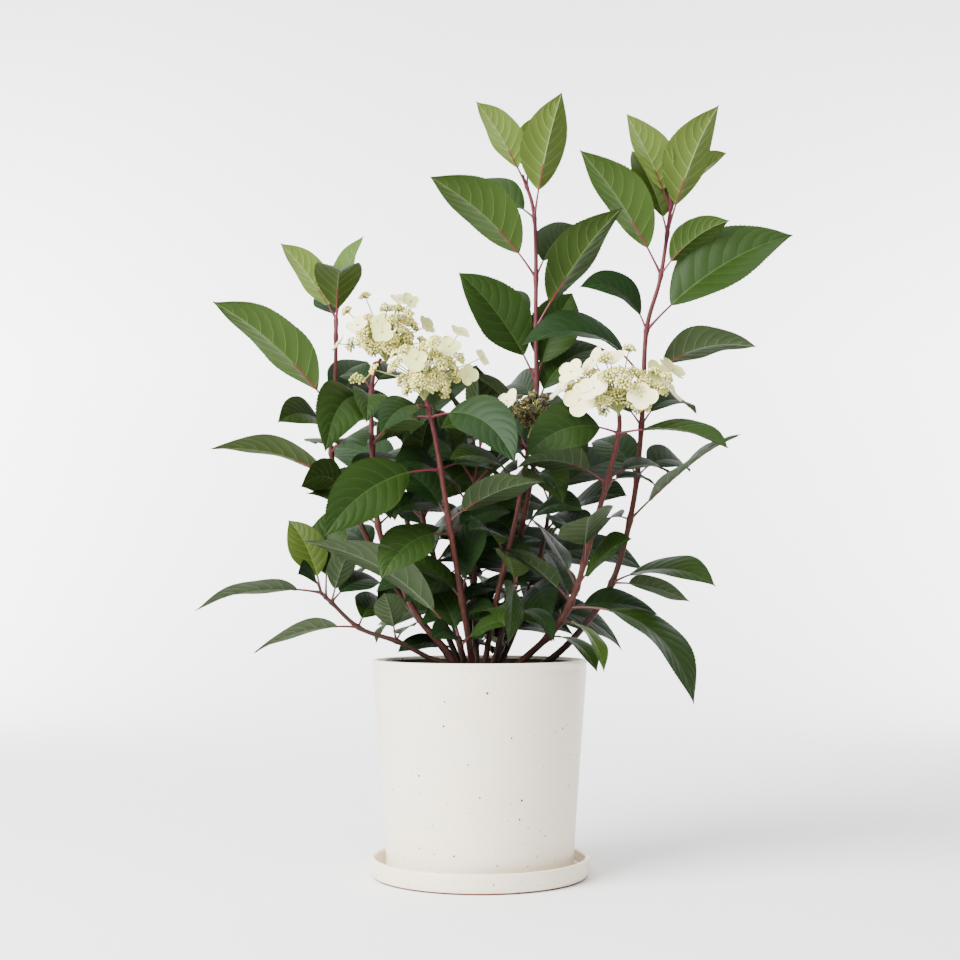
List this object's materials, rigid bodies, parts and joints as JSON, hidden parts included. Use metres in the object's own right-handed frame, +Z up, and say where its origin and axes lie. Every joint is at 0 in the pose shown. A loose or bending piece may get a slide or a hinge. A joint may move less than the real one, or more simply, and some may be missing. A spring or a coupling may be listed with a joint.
{
  "type": "hydrangea shrub in a planter",
  "caption": "Flowering hydrangea shrub with leafy red canes and cream flower heads, in a round glazed stoneware planter on its saucer.",
  "frame": {"origin": "middle of the saucer's flat underside, on the surface it stands on, under the planter's axis", "axes": "+Z up, +X to the right and +Y to the back as seen from the front"},
  "size_m": [0.6578, 0.4357, 0.8843],
  "materials": {
    "stoneware": "satin",
    "potting_soil": "matte",
    "bark": "matte",
    "foliage": "satin"
  },
  "bodies": {
    "root": {"planter": "stoneware", "saucer": "stoneware", "soil": "potting_soil", "woody_foot": "bark", "cane_right_tall": "bark", "cane_middle_tall": "bark", "cane_left_tall": "bark", "cane_left_bloom": "bark", "cane_front_left": "bark", "cane_right_bloom": "bark", "cane_seed_head": "bark", "cane_low_left": "bark", "cane_front_basal": "bark", "cane_front_low": "bark", "cane_centre_left": "bark", "cane_centre": "bark", "cane_back_left": "bark", "cane_back_middle": "bark", "cane_back_right": "bark", "cane_back_low": "bark", "leaves_right_tall": "foliage", "leaves_middle_tall": "foliage", "leaves_left_tall": "foliage", "leaves_left_bloom": "foliage", "leaves_front_left": "foliage", "leaves_right_bloom": "foliage", "leaves_seed_head": "foliage", "leaves_low_left": "foliage", "leaves_front_basal": "foliage", "leaves_front_low": "foliage", "leaves_centre_left": "foliage", "leaves_centre": "foliage", "leaves_back_left": "foliage", "leaves_back_middle": "foliage", "leaves_back_right": "foliage", "leaves_back_low": "foliage"}
  },
  "joints": []
}
